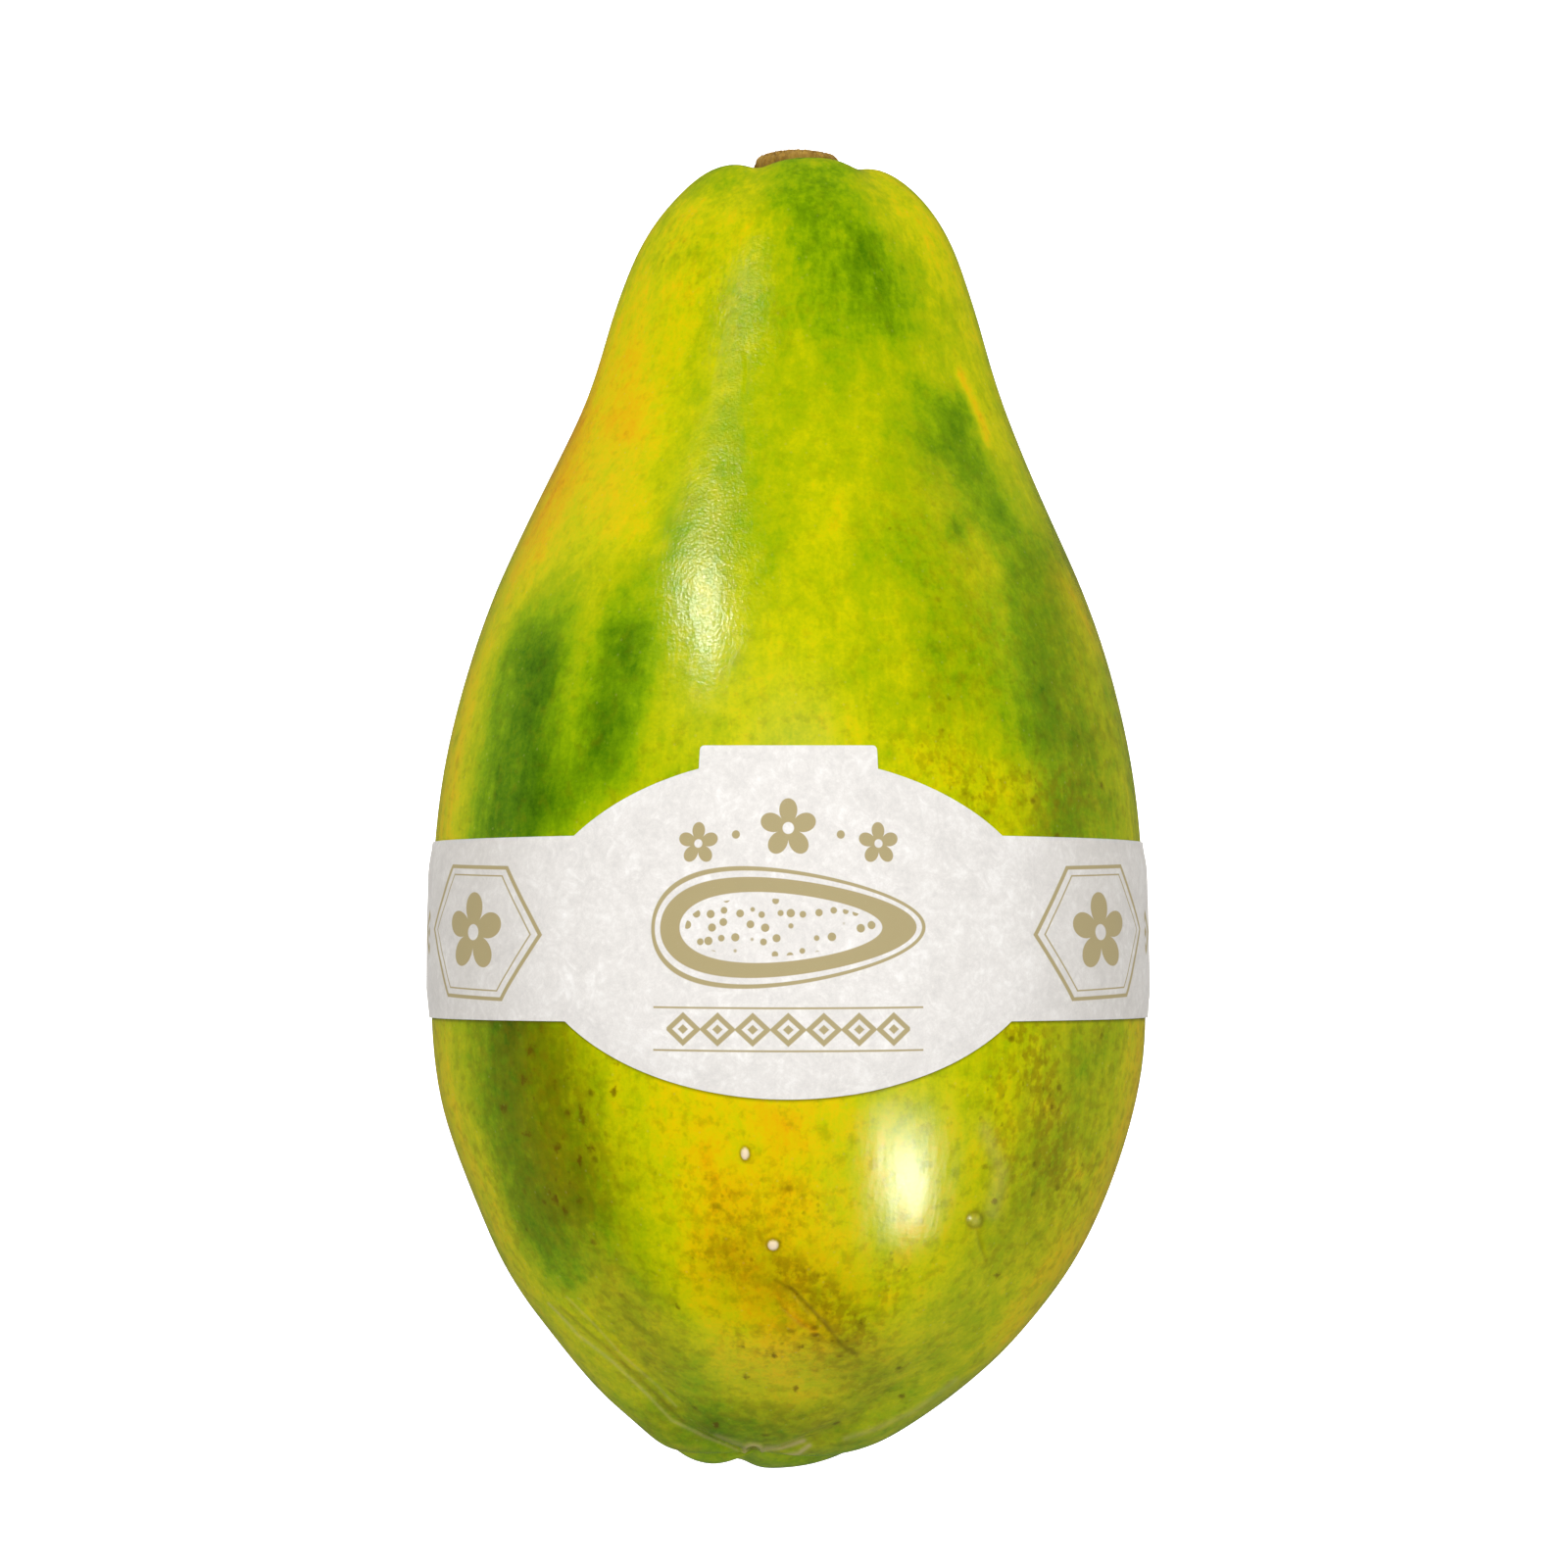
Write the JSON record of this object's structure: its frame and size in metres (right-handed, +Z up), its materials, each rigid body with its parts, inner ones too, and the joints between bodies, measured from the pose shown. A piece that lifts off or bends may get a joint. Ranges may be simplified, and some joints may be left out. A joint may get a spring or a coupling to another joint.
{
  "type": "papaya",
  "caption": "Whole lobed papaya lying on its side, with a corky stem stub at the neck and a paper band with an oval panel round its middle.",
  "frame": {"origin": "middle of the flat spot under the paper band, on the surface that the fruit rests on", "axes": "+Y along the fruit towards its stem, +X across it, +Z up"},
  "size_m": [0.1208, 0.2226, 0.1168],
  "materials": {
    "skin": "waxy, smooth",
    "stub": "dry, corky",
    "paper": "uncoated paper, printed in one colour"
  },
  "bodies": {
    "root": {"papaya_fruit": "skin", "stem_stub": "stub", "paper_band": "paper"}
  },
  "joints": []
}
